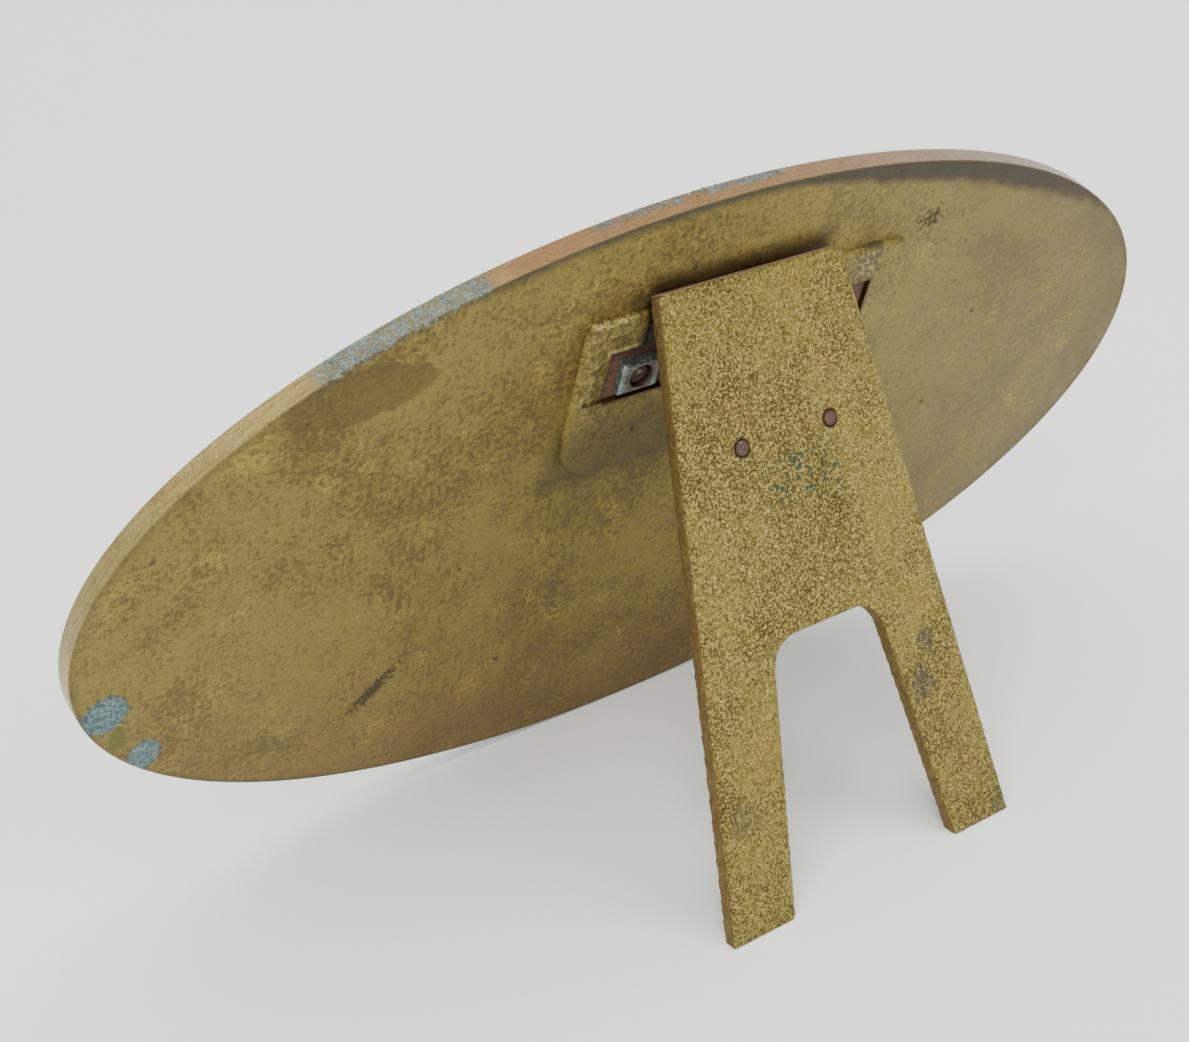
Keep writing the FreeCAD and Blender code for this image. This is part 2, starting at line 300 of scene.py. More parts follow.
class Board:
    """One material's node tree, with a Principled shader at its end."""

    def __init__(self, name: str) -> None:
        """Start an empty material.

        Args:
            name: The material's name.
        """
        self.material = bpy.data.materials.new(name)
        self.material.use_nodes = True
        self.tree = self.material.node_tree
        self.tree.nodes.clear()
        self.shader = self.node("ShaderNodeBsdfPrincipled")
        out = self.node("ShaderNodeOutputMaterial")
        self.tree.links.new(self.shader.outputs[0], out.inputs[0])

    def node(self, kind: str, settings: dict[str, Any] | None = None,
             sockets: dict[Any, Any] | None = None) -> Any:
        """Add a node, set it and feed it.

        Args:
            kind: The node's type.
            settings: Properties, set before the sockets.
            sockets: Values or wires by socket name or index.

        Returns:
            The node.
        """
        node = self.tree.nodes.new(kind)
        for name, value in (settings or {}).items():
            setattr(node, name, value)
        for key, value in (sockets or {}).items():
            self.feed(node.inputs[key], value)
        return node

    def feed(self, socket: Any, value: Any) -> None:
        """Link a wire or another socket to a socket, or set its constant.

        Args:
            socket: The input to feed.
            value: A wire, a socket or a constant.
        """
        if isinstance(value, Wire):
            self.tree.links.new(value.socket, socket)
        elif isinstance(value, bpy.types.NodeSocket):
            self.tree.links.new(value, socket)
        else:
            socket.default_value = value

    def local(self, place: LocalFrame) -> Any:
        """Return a vector socket with positions in a leaning frame, in millimetres.

        Args:
            place: The leaning frame.

        Returns:
            The vector socket.
        """
        coord = self.node("ShaderNodeTexCoord")
        mapping = self.node(
            "ShaderNodeMapping", {"vector_type": "TEXTURE"},
            {"Vector": coord.outputs["Object"], "Location": tuple(place.origin),
             "Rotation": (place.turn, 0.0, 0.0), "Scale": (0.001, 0.001, 0.001)})
        return mapping.outputs[0]

    def parts(self, vector: Any) -> tuple[Wire, Wire, Wire]:
        """Split a vector into three wires.

        Args:
            vector: The vector socket.

        Returns:
            The x, y and z wires.
        """
        node = self.node("ShaderNodeSeparateXYZ", None, {0: vector})
        return Wire(self, node.outputs[0]), Wire(self, node.outputs[1]), Wire(self, node.outputs[2])

    def stretch(self, vector: Any, factors: Sequence[float]) -> Any:
        """Scale a vector's three parts.

        Args:
            vector: The vector socket.
            factors: One factor for each part.

        Returns:
            The scaled vector socket.
        """
        node = self.node("ShaderNodeVectorMath", {"operation": "MULTIPLY"}, {0: vector, 1: tuple(factors)})
        return node.outputs[0]

    def cloud(self, vector: Any, scale: float, detail: float = 3.0, rough: float = 0.55,
              warp: float = 0.0) -> Wire:
        """Return smooth noise from 0 to 1.

        Args:
            vector: Position socket.
            scale: Features for each unit of the vector.
            detail: Octaves.
            rough: Weight of the fine octaves.
            warp: Distortion.

        Returns:
            The noise.
        """
        node = self.node("ShaderNodeTexNoise", None,
                         {"Vector": vector, "Scale": scale, "Detail": detail, "Roughness": rough,
                          "Distortion": warp})
        return Wire(self, node.outputs["Fac"])

    def cells(self, vector: Any, scale: float) -> Wire:
        """Return the distance to the nearest of many scattered points.

        Args:
            vector: Position socket.
            scale: Points for each unit of the vector.

        Returns:
            The distance, in cells.
        """
        node = self.node("ShaderNodeTexVoronoi", {"feature": "F1"}, {"Vector": vector, "Scale": scale})
        return Wire(self, node.outputs["Distance"])

    def blend(self, factor: Any, low: Any, high: Any) -> Any:
        """Mix two colours by a factor and return the colour socket.

        Args:
            factor: Share of the second colour.
            low: The first colour.
            high: The second colour.

        Returns:
            The colour socket.
        """
        node = self.node("ShaderNodeMix", {"data_type": "RGBA", "clamp_factor": True}, {0: factor})
        for index, value in ((6, low), (7, high)):
            self.feed(node.inputs[index], (*value, 1.0) if isinstance(value, tuple) else value)
        return node.outputs[2]

    def relief(self, height: Wire, strength: float, depth_mm: float) -> None:
        """Feed a bump from a height between about 0 and 1.

        Args:
            height: The height.
            strength: The bump's strength.
            depth_mm: How deep a change of 1 is.
        """
        bump = self.node("ShaderNodeBump", None,
                         {"Strength": strength, "Distance": depth_mm * 0.001, "Height": height})
        self.feed(self.shader.inputs["Normal"], bump.outputs[0])

    def finish(self, colour: Any, roughness: Any, metallic: Any) -> bpy.types.Material:
        """Feed the shader's main sockets and return the material.

        Args:
            colour: Base colour.
            roughness: Roughness.
            metallic: Metallic.

        Returns:
            The material.
        """
        self.feed(self.shader.inputs["Base Color"], (*colour, 1.0) if isinstance(colour, tuple) else colour)
        self.feed(self.shader.inputs["Roughness"], roughness)
        self.feed(self.shader.inputs["Metallic"], metallic)
        return self.material


def spot(x: Wire, y: Wire, centre: tuple[float, float], radii: tuple[float, float]) -> Wire:
    """Return the distance from a spot's middle, with 1 on its edge.

    Args:
        x: Position across, in millimetres.
        y: Position up, in millimetres.
        centre: The spot's middle.
        radii: Its half sizes.

    Returns:
        The scaled distance.
    """
    dx, dy = (x - centre[0]) / radii[0], (y - centre[1]) / radii[1]
    return (dx * dx + dy * dy).root()


def frame_distance(x: Wire, y: Wire, middle: tuple[float, float], half: tuple[float, float]) -> Wire:
    """Return the distance outside a rectangle's edge, negative inside it, in millimetres.

    Args:
        x: Position across, in millimetres.
        y: Position up, in millimetres.
        middle: The rectangle's middle.
        half: Its half sizes.

    Returns:
        The distance.
    """
    return (abs(x - middle[0]) - half[0]).most(abs(y - middle[1]) - half[1])


# ---------------------------------------------------------------- finishes
@dataclass(frozen=True)
class PlateField:
    """The plate's board with its positions, in millimetres, and the noises that its marks share."""

    board: Board
    x: Wire
    y: Wire
    z: Wire
    place: Any
    ring: Wire
    inset: Wire
    broad: Wire
    mid: Wire
    grain: Wire
    fine: Wire
    brushed: Wire

    @classmethod
    def lay(cls, board: Board) -> "PlateField":
        """Lay the positions and noises on a board.

        Args:
            board: The plate's board.

        Returns:
            The field.
        """
        place = board.local(plate_frame())
        x, y, z = board.parts(place)
        across, up = x / PLATE_HALF[0], y / PLATE_HALF[1]
        ring = (across * across + up * up).root()
        return cls(board, x, y, z, place, ring, (1.0 - ring) * EDGE_REACH,
                   broad=board.cloud(place, 0.045, 5.0, 0.6, 0.6), mid=board.cloud(place, 0.22, 5.0, 0.62),
                   grain=board.cloud(place, 1.15, 5.0, 0.75), fine=board.cloud(place, 5.0, 2.0, 0.6),
                   brushed=board.cloud(board.stretch(place, (1.9, 0.09, 1.0)), 1.0, 5.0, 0.7))

    def ragged(self, centre: tuple[float, float], radii: tuple[float, float], swing: float) -> Wire:
        """Return a spot's distance with a grainy edge.

        Args:
            centre: The spot's middle.
            radii: Its half sizes.
            swing: How far the grain moves the edge.

        Returns:
            The distance, near 1 on the edge.
        """
        return spot(self.x, self.y, centre, radii) + (self.grain - 0.5) * swing


@dataclass(frozen=True)
class PlateBrass:
    """Old cast brass: olive-brown back, rubbed bright rim, dark edges and verdigris, with painted shade and
    painted highlights about the hinge seat.
    """

    olive: Colour = (0.262, 0.193, 0.052)
    shade: Colour = (0.130, 0.088, 0.027)
    gold: Colour = (0.370, 0.270, 0.092)
    copper: Colour = (0.250, 0.125, 0.048)
    dark_shade: Colour = (0.085, 0.066, 0.040)
    rust: Colour = (0.100, 0.042, 0.022)
    crust_blue: Colour = (0.038, 0.076, 0.082)
    crust_pale: Colour = (0.205, 0.285, 0.280)
    moss: Colour = (0.105, 0.110, 0.022)
    stain: tuple[tuple[float, float], ...] = ((61.5, 35.2), (11.5, 4.4))
    pit_group: tuple[tuple[float, float], ...] = ((-37.6, 38.0), (4.6, 3.2))
    low_lumps: tuple[tuple[tuple[float, float], ...], ...] = (
        ((95.0, -9.0), (3.5, 3.8)), ((89.2, -20.0), (2.6, 3.0)))
    moss_spot: tuple[tuple[float, float], ...] = ((93.2, -14.6), (1.9, 3.4))

    def build(self) -> bpy.types.Material:
        """Build the material.

        Returns:
            The plate's finish.
        """
        b = Board("plate_brass_finish")
        f = PlateField.lay(b)
        colour = self.metal(f)
        plain = b.blend(0.35, colour, self.gold)
        front = f.z.ramp(3.1, 3.35) * f.inset.ramp(0.1, 0.7)
        rear = 1.0 - front
        holes = self.holes(f) * rear
        colour = self.stains(f, colour, holes)
        border = self.border_factor(f)
        colour = self.edges(f, colour, border)
        band = f.z.ramp(0.12, 0.5) * f.ring.ramp(0.97, 0.985)
        colour = b.blend(band, colour, self.rim(f))
        colour = self.pocket(f, self.seat(f, colour))
        green = f.ragged(*self.moss_spot, 1.6).ramp(1.0, 0.5)
        colour = b.blend(green * 0.7, colour, self.moss)
        crust = self.crust(f) * rear
        powder = (f.fine * 0.5 + f.grain * 0.5).ramp(0.46, 0.56)
        colour = b.blend(crust, colour, b.blend(powder, self.crust_blue, self.crust_pale))
        colour = b.blend(front, colour, plain)

        rough = (0.50 + (f.mid - 0.5) * 0.25 + (f.grain - 0.5) * 0.2) * (1.0 - band * 0.3) + border * 0.15
        rough = (rough + crust * 0.45 + holes * 0.2).ramp(0.0, 1.0, 0.0, 1.0)
        dull_rim = band * (-f.x).ramp(10.0, 50.0) * 0.5
        metal = (0.86 - dull_rim - crust * 0.86 - holes * 0.4 - border * 0.35).most(0.0)
        cast = f.grain * 1.0 + f.fine * 0.3 + f.brushed * 0.3 + f.mid * 0.8
        b.relief(cast - holes * 0.9 + crust * 0.6, 0.9, 0.3)
        return b.finish(colour, rough, metal)

    def metal(self, f: PlateField) -> Any:
        """Return the bare brass: mottled olive, gold specks and a redder lower part.

        Args:
            f: The plate's field.

        Returns:
            The colour socket.
        """
        b = f.board
        tone = f.broad * 0.45 + f.mid * 0.35 + f.brushed * 0.25 + f.grain * 0.9 + f.fine * 0.3
        colour = b.blend(tone.ramp(1.00, 1.19), self.shade, self.olive)
        mottle_mask = (f.grain * 0.6 + f.fine * 0.5 + f.mid * 0.3).ramp(0.76, 0.92)
        colour = b.blend(mottle_mask * 0.55, colour, self.gold)
        pores = (f.fine * 0.6 + f.grain * 0.4).ramp(0.46, 0.36)
        colour = b.blend(pores * 0.45, colour, (0.090, 0.062, 0.024))
        red = (b.cloud(f.place, 0.09, 4.0, 0.6) + f.y.ramp(10.0, -50.0) * 0.35).ramp(0.58, 0.95)
        colour = b.blend(red * 0.42, colour, (0.215, 0.112, 0.044))
        low = f.y.ramp(-34.0, -51.0) * f.mid.ramp(0.25, 0.6)
        return b.blend(low * 0.5, colour, (0.120, 0.070, 0.030))

    def holes(self, f: PlateField) -> Wire:
        """Return where the back is pitted: a slanting smear, a group of pits and lone ones.

        Args:
            f: The plate's field.

        Returns:
            The factor, 1 in a pit.
        """
        b = f.board
        slanted = spot(f.x + f.y * 0.9, f.y, (29.8, -25.1), (2.4, 4.8))
        smear = (slanted + (f.grain - 0.5) * 3.0).ramp(0.9, 0.35)
        group = f.ragged(*self.pit_group, 4.2).ramp(0.45, 0.2)
        pit = b.cells(f.place, 0.16).ramp(0.105, 0.05) * f.mid.ramp(0.48, 0.62)
        tiny = b.cells(f.place, 0.55).ramp(0.16, 0.08) * b.cloud(f.place, 0.06, 3.0).ramp(0.5, 0.62)
        return smear.most(group).most(pit).most(tiny * 0.8)

    def stains(self, f: PlateField, colour: Any, holes: Wire) -> Any:
        """Lay the stain, the pits' dirt, gold flecks and dusky patches over the brass.

        Args:
            f: The plate's field.
            colour: The colour so far.
            holes: Where the pits are.

        Returns:
            The colour socket.
        """
        b = f.board
        colour = b.blend((-f.x).ramp(20.0, 60.0) * 0.4, colour, (0.130, 0.100, 0.040))
        blot = (spot(f.x, f.y, *self.stain) + (f.mid - 0.5) * 1.1).ramp(1.02, 0.94)
        colour = b.blend(blot * 0.62, colour, (0.115, 0.076, 0.028))
        colour = b.blend(holes * 0.85, colour, (0.045, 0.034, 0.020))
        fleck = (b.cloud(f.place, 0.11, 4.0, 0.6) * 0.5 + f.grain * 0.5 + f.fine * 0.25).ramp(0.70, 0.75)
        colour = b.blend(fleck * 0.7, colour, (0.430, 0.300, 0.070))
        dusk = (b.cloud(f.place, 0.16, 4.0, 0.62) * 0.55 + f.grain * 0.5 + f.fine * 0.2).ramp(0.52, 0.46)
        return b.blend(dusk * 0.55, colour, (0.075, 0.064, 0.040))

    def border_factor(self, f: PlateField) -> Wire:
        """Return the dark ragged border of the back, widest at the upper right.

        Args:
            f: The plate's field.

        Returns:
            The factor, 1 at the edge.
        """
        heavy = (-f.x).ramp(2.0, 30.0) * (f.x + 100.0).ramp(12.0, 45.0) * f.y.ramp(2.0, 24.0)
        reach = 0.5 + self.top_side(f) * 1.1 + heavy * 2.6 + (f.mid - 0.5) * 3.0 + (f.grain - 0.5) * 2.4
        return (reach - f.inset).ramp(-0.6, 1.6) * f.z.ramp(0.35, 0.1)

    def top_side(self, f: PlateField) -> Wire:
        """Return where the border lies under the rim's top.

        Args:
            f: The plate's field.

        Returns:
            The factor.
        """
        return f.y.ramp(22.0, 40.0) * f.x.ramp(56.0, 38.0)

    def edges(self, f: PlateField, colour: Any, border: Wire) -> Any:
        """Darken the border, the right end and the lower edge, and paint the strut's shadow as a dark strip
        over the seat.

        Args:
            f: The plate's field.
            colour: The colour so far.
            border: The border's factor.

        Returns:
            The colour socket.
        """
        b = f.board
        colour = b.blend(border * (0.72 + self.top_side(f) * 0.2), colour, (0.050, 0.042, 0.030))
        mottle_mask = (f.mid * 0.7 + f.grain * 0.3).ramp(0.30, 0.55)
        fade = (5.5 - f.inset).ramp(-3.0, 4.0) * (-f.x).ramp(55.0, 85.0) * mottle_mask
        colour = b.blend(fade * 0.5, colour, (0.100, 0.070, 0.040))
        foot_edge = f.y.ramp(-20.0, -40.0) * f.inset.ramp(1.2, 0.2) * f.z.ramp(0.35, 0.1)
        colour = b.blend(foot_edge * 0.7, colour, self.dark_shade)
        # Painted shadow: a dark strip just above the seat, where the strut's top shades the plate.
        below_seat_top = f.z.ramp(-0.4, -0.1)
        strut_shadow = frame_distance(f.x, f.y, (-0.5, 39.0), (15.5, 1.6)).ramp(2.6, -0.8) * below_seat_top
        return b.blend(strut_shadow * 0.62, colour, (0.040, 0.024, 0.012))

    def rim(self, f: PlateField) -> Any:
        """Return the rim's colour: gold at one end, copper over the middle, dull beyond.

        Args:
            f: The plate's field.

        Returns:
            The colour socket.
        """
        b = f.board
        swing = b.cloud(f.place, 0.05, 3.0, 0.5)
        bright = b.blend((swing + f.x.ramp(70.0, 30.0) * 0.25).ramp(0.50, 0.70), self.gold, self.copper)
        bright = b.blend((-f.x).ramp(20.0, 60.0) * 0.7, bright, (0.120, 0.085, 0.045))
        streaks = b.cloud(b.stretch(f.place, (0.25, 0.25, 2.2)), 1.0, 4.0, 0.7).ramp(0.40, 0.66)
        bright = b.blend(streaks * 0.5, bright, self.shade)
        tarnish = (f.grain * 0.4 + f.mid * 0.6).ramp(0.54, 0.66)
        return b.blend(tarnish * 0.5, bright, (0.080, 0.048, 0.024))

    def seat(self, f: PlateField, colour: Any) -> Any:
        """Mark the hinge seat: a dark foot, painted gold highlights on its raised face and edges, strongest
        at its left, and crumbs at its right.

        Args:
            f: The plate's field.
            colour: The colour so far.

        Returns:
            The colour socket.
        """
        b = f.board
        speckle = f.grain * 0.5 + f.fine * 0.5
        seat = frame_distance(f.x, f.y, *SEAT)
        low_line = abs(f.y - 7.4 - (f.mid - 0.5) * 3.0).ramp(1.0, 0.2)
        low_line = low_line * seat.ramp(4.0, 1.0) * f.grain.ramp(0.4, 0.6)
        colour = b.blend(low_line * 0.75 * (f.x + 20.0).ramp(0.0, 10.0), colour, self.dark_shade)
        matted = (f.mid * 0.6 + f.grain * 0.4).ramp(0.36, 0.52)
        low_pad = seat.ramp(4.0, -1.0) * f.y.ramp(20.0, 15.0) * matted
        colour = b.blend(low_pad * 0.55, colour, (0.085, 0.066, 0.036))
        # Painted highlight: gold on the raised seat, strongest at its left end.
        raised = f.z.ramp(-0.05, -0.3) * seat.ramp(-7.5, -2.0) * f.y.ramp(12.0, 20.0)
        mottle_mask = raised * (f.grain * 0.6 + f.fine * 0.4).ramp(0.50, 0.60)
        colour = b.blend(mottle_mask * (0.03 + self.left_side(f) * 0.5), colour, (0.430, 0.340, 0.110))
        # Painted highlights: gold lines along the seat's upper edge, its step and its left side.
        upper_run = abs(f.y - 35.8 - (f.mid - 0.5) * 1.6).ramp(0.55, 0.15)
        step_run = abs(f.y - 33.5 - (f.mid - 0.5) * 1.6).ramp(0.5, 0.15)
        highlight_runs = upper_run.most(step_run) * (f.x - 17.6).ramp(0.0, 1.0) * f.x.ramp(27.0, 24.5)
        side_run = abs(f.x - 24.4 - (f.mid - 0.5) * 3.0).ramp(1.3, 0.4)
        side_run = side_run * f.y.ramp(18.0, 22.0) * f.y.ramp(31.0, 28.0)
        colour = b.blend(highlight_runs.most(side_run * 0.6) * speckle.ramp(0.46, 0.54) * 0.8, colour, EDGE_HIGHLIGHT)
        crumb = f.ragged((-25.5, 33.0), (3.4, 4.2), 2.6).ramp(0.95, 0.6)
        colour = b.blend(crumb * f.grain.ramp(0.56, 0.48) * 0.8, colour, self.dark_shade)
        return b.blend(crumb * f.grain.ramp(0.5, 0.6) * 0.8, colour, (0.520, 0.420, 0.150))

    def left_side(self, f: PlateField) -> Wire:
        """Return where the seat's left end is.

        Args:
            f: The plate's field.

        Returns:
            The factor.
        """
        return f.x.ramp(8.0, 20.0)

    def pocket(self, f: PlateField, colour: Any) -> Any:
        """Rust the pocket, paint a gold highlight on its upper lip and paint shade into the hinge slot.

        Args:
            f: The plate's field.
            colour: The colour so far.

        Returns:
            The colour socket.
        """
        b = f.board
        well = frame_distance(f.x, f.y, *POCKET)
        speckle = (f.grain * 0.5 + f.fine * 0.5).ramp(0.40, 0.5)
        # Painted highlight: a gold line along the pocket's upper edge, at its left end.
        lip = abs(well - 0.5).ramp(0.5, 0.15) * f.y.ramp(29.0, 30.0) * speckle
        colour = b.blend((well + (f.grain - 0.5) * 1.6).ramp(0.9, -0.1) * 0.85, colour, self.rust)
        colour = b.blend(lip * 0.8 * self.left_side(f), colour, EDGE_HIGHLIGHT)
        # Painted shade: the hinge slot goes near black.
        slot_shade = frame_distance(f.x, f.y, *HINGE_SLOT).ramp(1.2, 0.2)
        return b.blend(slot_shade * 0.85, colour, (0.040, 0.028, 0.016))

    def crust(self, f: PlateField) -> Wire:
        """Return where verdigris films the rim and the two spots at the left end.

        Args:
            f: The plate's field.

        Returns:
            The factor, 1 in the crust.
        """
        patch_left = abs(f.x - 55.0).ramp(14.0, 10.0)
        patch_mid = abs(f.x - 10.0).ramp(18.5, 14.0)
        near_rim = (f.inset - (f.grain - 0.5) * 3.0).ramp(0.9, -0.5) * f.y.ramp(0.0, 4.0)
        depth = (f.z + (f.mid - 0.5) * 2.0).ramp(-0.6, 0.5)
        outer = (f.z + (f.mid - 0.5) * 1.6).ramp(1.7, 2.3)
        full = (f.mid * 0.8 + f.grain * 0.4 + patch_left * 0.12).ramp(0.52, 0.66)
        spill = (patch_left * 0.92 + patch_mid * outer * 0.9).least(1.0)
        crust = spill * near_rim * depth * full
        for centre, radii in self.low_lumps:
            crust = crust.most(f.ragged(centre, radii, 1.3).ramp(1.05, 0.85))
        return crust


@dataclass(frozen=True)
class StrutBrass:
    """Sand-cast brass: speckled gold faces, browner sawn sides and a painted highlight along the top."""

    gold: Colour = (0.285, 0.215, 0.052)
    spark: Colour = (0.560, 0.465, 0.165)
    dark: Colour = (0.075, 0.050, 0.015)
    side: Colour = (0.230, 0.150, 0.052)
    green: Colour = (0.012, 0.070, 0.052)
    rings: tuple[tuple[float, float, float], ...] = (
        (7.5, -14.4, 1.5), (5.4, -16.0, 1.1), (-8.8, -12.9, 1.5))

    def build(self) -> bpy.types.Material:
        """Build the material.

        Returns:
            The finish.
        """
        b = Board("strut_brass_finish")
        p = b.local(strut_frame())
        x, y, z = b.parts(p)
        broad = b.cloud(p, 0.07, 4.0, 0.6)
        mid = b.cloud(p, 0.45, 4.0, 0.6)
        sand = b.cloud(p, 2.6, 4.0, 0.72)
        fine = b.cloud(p, 4.6, 3.0, 0.7)
        calm = y.ramp(-35.0, -80.0)
        speck = sand * 0.62 + fine * 0.38
        colour = b.blend((speck + (broad - 0.5) * 0.2).ramp(0.43, 0.52), self.dark, self.gold)
        colour = b.blend(speck.ramp(0.53, 0.585) * (0.95 - calm * 0.3), colour, self.spark)
        colour = b.blend(b.cells(p, 1.1).ramp(0.2, 0.06) * mid.ramp(0.42, 0.6) * 0.7, colour, self.dark)
        colour = b.blend(broad.ramp(0.45, 0.75) * 0.3, colour, (0.270, 0.190, 0.052))

        leg = (spot(x, y, (-15.6, -62.6), (3.4, 3.8)) + (mid - 0.5) * 2.4).ramp(0.85, 0.45)
        leg2 = (spot(x, y, (-17.7, -56.4), (1.8, 2.4)) + (mid - 0.5) * 2.0).ramp(0.9, 0.45)
        blot = (spot(x, y, (21.2, -70.1), (3.6, 3.2)) + (mid - 0.5) * 1.6).ramp(1.0, 0.5) * 0.55
        toe = (spot(x, y, (-26.4, -85.5), (2.6, 2.6)) + (mid - 0.5) * 1.2).ramp(1.1, 0.6) * 0.6
        pits = leg.most(leg2).most(blot).most(toe)
        colour = b.blend(pits * (0.45 + sand.ramp(0.54, 0.46) * 0.45), colour, (0.062, 0.052, 0.034))

        fleck = b.cells(p, 0.95).ramp(0.36, 0.26)
        patch = spot(x, y, (-1.5, -25.6), (9.5, 5.0)).ramp(1.05, 0.55) * mid.ramp(0.38, 0.5)
        verdure = fleck * patch
        colour = b.blend(verdure, colour, self.green)
        for cx, cy, radius in self.rings:
            ring = abs(spot(x, y, (cx, cy), (radius, radius)) - 1.0).ramp(0.28, 0.08)
            colour = b.blend(ring * 0.3, colour, (0.330, 0.170, 0.075))
        for rivet in RIVETS:
            ring = (spot(x, y, rivet, (1.0, 1.0)) + (mid - 0.5) * 0.6).ramp(1.7, 1.3)
            colour = b.blend(ring * 0.9, colour, (0.050, 0.026, 0.016))

        flank = z.ramp(-4.42, -4.2)
        sawn = b.cloud(b.stretch(p, (1.0, 1.0, 4.0)), 0.7, 4.0, 0.65)
        edge_colour = b.blend(sawn.ramp(0.35, 0.68), (0.120, 0.070, 0.026), self.side)
        colour = b.blend(flank * 0.85, colour, edge_colour)
        # Painted highlight: a pale pinkish line along the strut's top edge.
        colour = b.blend(y.ramp(4.05, 4.25) * 0.8, colour, (0.470, 0.350, 0.240))
        rough = 0.52 + (mid - 0.5) * 0.2 + pits * 0.25 + verdure * 0.3 - speck.ramp(0.5, 0.66) * 0.1
        metal = (0.9 - pits * 0.5 - verdure * 0.8).most(0.0)
        b.relief(sand * 0.9 + fine * 0.5 + mid * 0.25 - pits * 0.6 + verdure * 0.25, 1.0, 0.42)
        return b.finish(colour, rough, metal)


@dataclass(frozen=True)
class RustySteel:
    """Thin steel under brown rust, with a little bare metal left and, above a set height, painted shade."""

    place: LocalFrame
    name: str = "rusty_steel_finish"
    dark: Colour = (0.050, 0.028, 0.022)
    brown: Colour = (0.150, 0.058, 0.028)
    orange: Colour = (0.290, 0.120, 0.045)
    bare: Colour = (0.200, 0.175, 0.155)
    # Height up the piece, in millimetres, above which shade is painted near black.
    painted_shade_above: float = 1000.0

    def build(self) -> bpy.types.Material:
        """Build the material.

        Returns:
            The finish.
        """
        b = Board(self.name)
        p = b.local(self.place)
        height = b.parts(p)[1]
        mid = b.cloud(p, 0.6, 5.0, 0.65)
        fine = b.cloud(p, 3.2, 4.0, 0.7)
        colour = b.blend((mid * 0.6 + fine * 0.4).ramp(0.38, 0.6), self.dark, self.brown)
        colour = b.blend(fine.ramp(0.56, 0.72) * 0.7, colour, self.orange)
        shine = b.cloud(p, 0.9, 3.0).ramp(0.6, 0.7)
        colour = b.blend(shine * 0.5, colour, self.bare)
        # Painted shade: near black above the set height, where the leaf sits in the hinge slot.
        dark_shade = height.ramp(self.painted_shade_above - 2.0, self.painted_shade_above) * 0.88
        colour = b.blend(dark_shade, colour, (0.018, 0.012, 0.009))
        b.relief(mid * 0.5 + fine * 0.9, 0.9, 0.12)
        return b.finish(colour, 0.78 - shine * 0.3, shine * 0.5)


@dataclass(frozen=True)
class StudSteel:
    """A stud's cut end: brown rust, a ring of painted shade round it and a painted highlight near its tip.
    """

    dark: Colour = (0.022, 0.015, 0.012)
    brown: Colour = (0.105, 0.056, 0.036)
    bright: Colour = (0.330, 0.240, 0.180)
    centres: tuple[tuple[float, float], ...] = STUDS

    def build(self) -> bpy.types.Material:
        """Build the material.

        Returns:
            The finish.
        """
        b = Board("stud_steel_finish")
        p = b.local(plate_frame())
        x, y, _ = b.parts(p)
        mid = b.cloud(p, 1.1, 4.0, 0.65)
        # Painted shade: a dark ring where the stud's end meets its hole.
        near = spot(x, y, self.centres[0], (1.9, 1.9)).least(spot(x, y, self.centres[1], (1.9, 1.9)))
        # Painted highlight: a pale spot high on the left stud's end.
        tip_highlight = spot(x, y, (self.centres[0][0] + 0.1, self.centres[0][1] + 0.5), (0.55, 0.45))
        colour = b.blend(mid.ramp(0.38, 0.62), self.dark, self.brown)
        colour = b.blend((near + (mid - 0.5) * 0.3).ramp(0.66, 0.84) * 0.9, colour, self.dark)
        colour = b.blend((tip_highlight + (mid - 0.5) * 0.8).ramp(1.1, 0.4) * 0.8, colour, self.bright)
        b.relief(mid - near * near * 0.8, 0.9, 0.3)
        return b.finish(colour, 0.6, 0.4)


@dataclass(frozen=True)
class ZincSteel:
    """Dull zinc plate with pale bloom and rust in the corners."""

    zinc: Colour = (0.075, 0.080, 0.074)
    bloom: Colour = (0.260, 0.300, 0.285)
    stain: Colour = (0.120, 0.060, 0.035)

    def build(self) -> bpy.types.Material:
        """Build the material.

        Returns:
            The finish.
        """
        b = Board("zinc_steel_finish")
        p = b.local(plate_frame())
        x, y, _ = b.parts(p)
        mid = b.cloud(p, 0.8, 4.0, 0.65)
        fine = b.cloud(p, 3.5, 3.0, 0.65)
        colour = b.blend((mid * 0.5 + fine * 0.5).ramp(0.42, 0.62), self.zinc, self.bloom)
        for stud in STUDS:
            near = spot(x, y, stud, (1.95, 1.95))
            colour = b.blend((near + (mid - 0.5) * 1.0).ramp(1.5, 1.0) * 0.8, colour, self.stain)
        colour = b.blend(fine.ramp(0.6, 0.75) * 0.5, colour, self.stain)
        b.relief(mid * 0.5 + fine * 0.6, 0.6, 0.08)
        return b.finish(colour, 0.5 + (fine - 0.5) * 0.4, 0.75)


@dataclass(frozen=True)
class CrustFinish:
    """Powdery blue-green copper salts."""

    blue: Colour = (0.034, 0.074, 0.082)
    pale: Colour = (0.215, 0.300, 0.298)

    def build(self) -> bpy.types.Material:
        """Build the material.

        Returns:
            The finish.
        """
        b = Board("verdigris_finish")
        p = b.local(plate_frame())
        fine = b.cloud(p, 2.4, 4.0, 0.7)
        colour = b.blend(fine.ramp(0.36, 0.64), self.blue, self.pale)
        b.relief(fine, 0.7, 0.08)
        return b.finish(colour, 0.95, 0.0)


# ---------------------------------------------------------------- pieces
def mesh_object(name: str, mesh: bpy.types.Mesh) -> bpy.types.Object:
    """Put a mesh in the scene as an object at the origin.

    Args:
        name: The object's name.
        mesh: Its mesh.

    Returns:
        The object.
    """
    thing = bpy.data.objects.new(name, mesh)
    bpy.context.scene.collection.objects.link(thing)
    return thing


